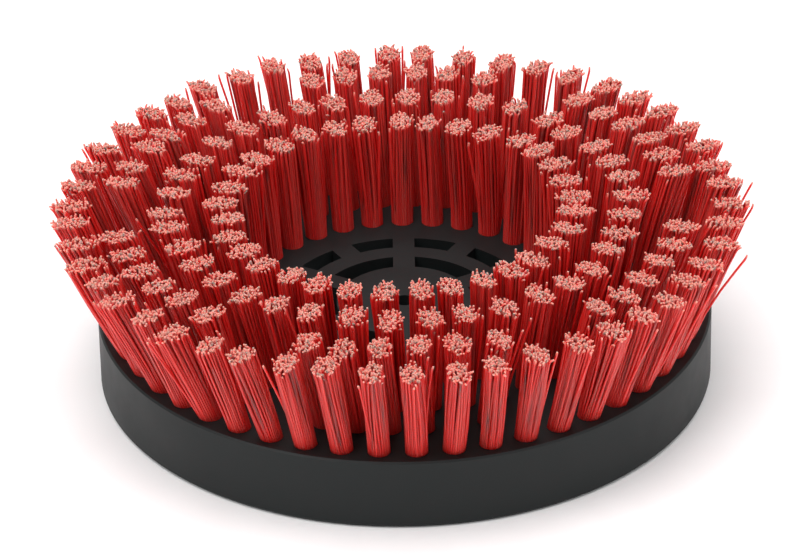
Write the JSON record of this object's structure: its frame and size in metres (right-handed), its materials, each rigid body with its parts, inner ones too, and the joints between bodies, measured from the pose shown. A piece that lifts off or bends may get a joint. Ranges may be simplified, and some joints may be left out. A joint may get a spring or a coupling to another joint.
{
  "type": "rotary disc brush",
  "caption": "Round disc brush for a rotary machine: a black moulded block with a slotted centre web and rings of red bristle tufts that lean outwards.",
  "frame": {"origin": "centre of the back face, the flat face that sits against the machine", "axes": "+Z along the spin axis, from the back face towards the bristle tips; +Y towards group 1 of each ring's tufts"},
  "size_m": [0.2212, 0.2212, 0.061],
  "materials": {
    "block_plastic": "moulded polypropylene, satin",
    "bristle_filament": "extruded filament, trimmed ends",
    "staple_wire": "flat drawn wire"
  },
  "bodies": {
    "root": {"brush_block": "block_plastic", "outer_ring_tufts_1": "bristle_filament", "outer_ring_tufts_2": "bristle_filament", "outer_ring_tufts_3": "bristle_filament", "outer_ring_tufts_4": "bristle_filament", "outer_ring_tufts_5": "bristle_filament", "outer_ring_tufts_6": "bristle_filament", "second_ring_tufts_1": "bristle_filament", "second_ring_tufts_2": "bristle_filament", "second_ring_tufts_3": "bristle_filament", "second_ring_tufts_4": "bristle_filament", "second_ring_tufts_5": "bristle_filament", "second_ring_tufts_6": "bristle_filament", "third_ring_tufts_1": "bristle_filament", "third_ring_tufts_2": "bristle_filament", "third_ring_tufts_3": "bristle_filament", "third_ring_tufts_4": "bristle_filament", "third_ring_tufts_5": "bristle_filament", "third_ring_tufts_6": "bristle_filament", "inner_ring_tufts_1": "bristle_filament", "inner_ring_tufts_2": "bristle_filament", "inner_ring_tufts_3": "bristle_filament", "inner_ring_tufts_4": "bristle_filament", "inner_ring_tufts_5": "bristle_filament", "inner_ring_tufts_6": "bristle_filament", "outer_ring_staples_1": "staple_wire", "outer_ring_staples_2": "staple_wire", "outer_ring_staples_3": "staple_wire", "outer_ring_staples_4": "staple_wire", "outer_ring_staples_5": "staple_wire", "outer_ring_staples_6": "staple_wire", "second_ring_staples_1": "staple_wire", "second_ring_staples_2": "staple_wire", "second_ring_staples_3": "staple_wire", "second_ring_staples_4": "staple_wire", "second_ring_staples_5": "staple_wire", "second_ring_staples_6": "staple_wire", "third_ring_staples_1": "staple_wire", "third_ring_staples_2": "staple_wire", "third_ring_staples_3": "staple_wire", "third_ring_staples_4": "staple_wire", "third_ring_staples_5": "staple_wire", "third_ring_staples_6": "staple_wire", "inner_ring_staples_1": "staple_wire", "inner_ring_staples_2": "staple_wire", "inner_ring_staples_3": "staple_wire", "inner_ring_staples_4": "staple_wire", "inner_ring_staples_5": "staple_wire", "inner_ring_staples_6": "staple_wire"}
  },
  "joints": []
}
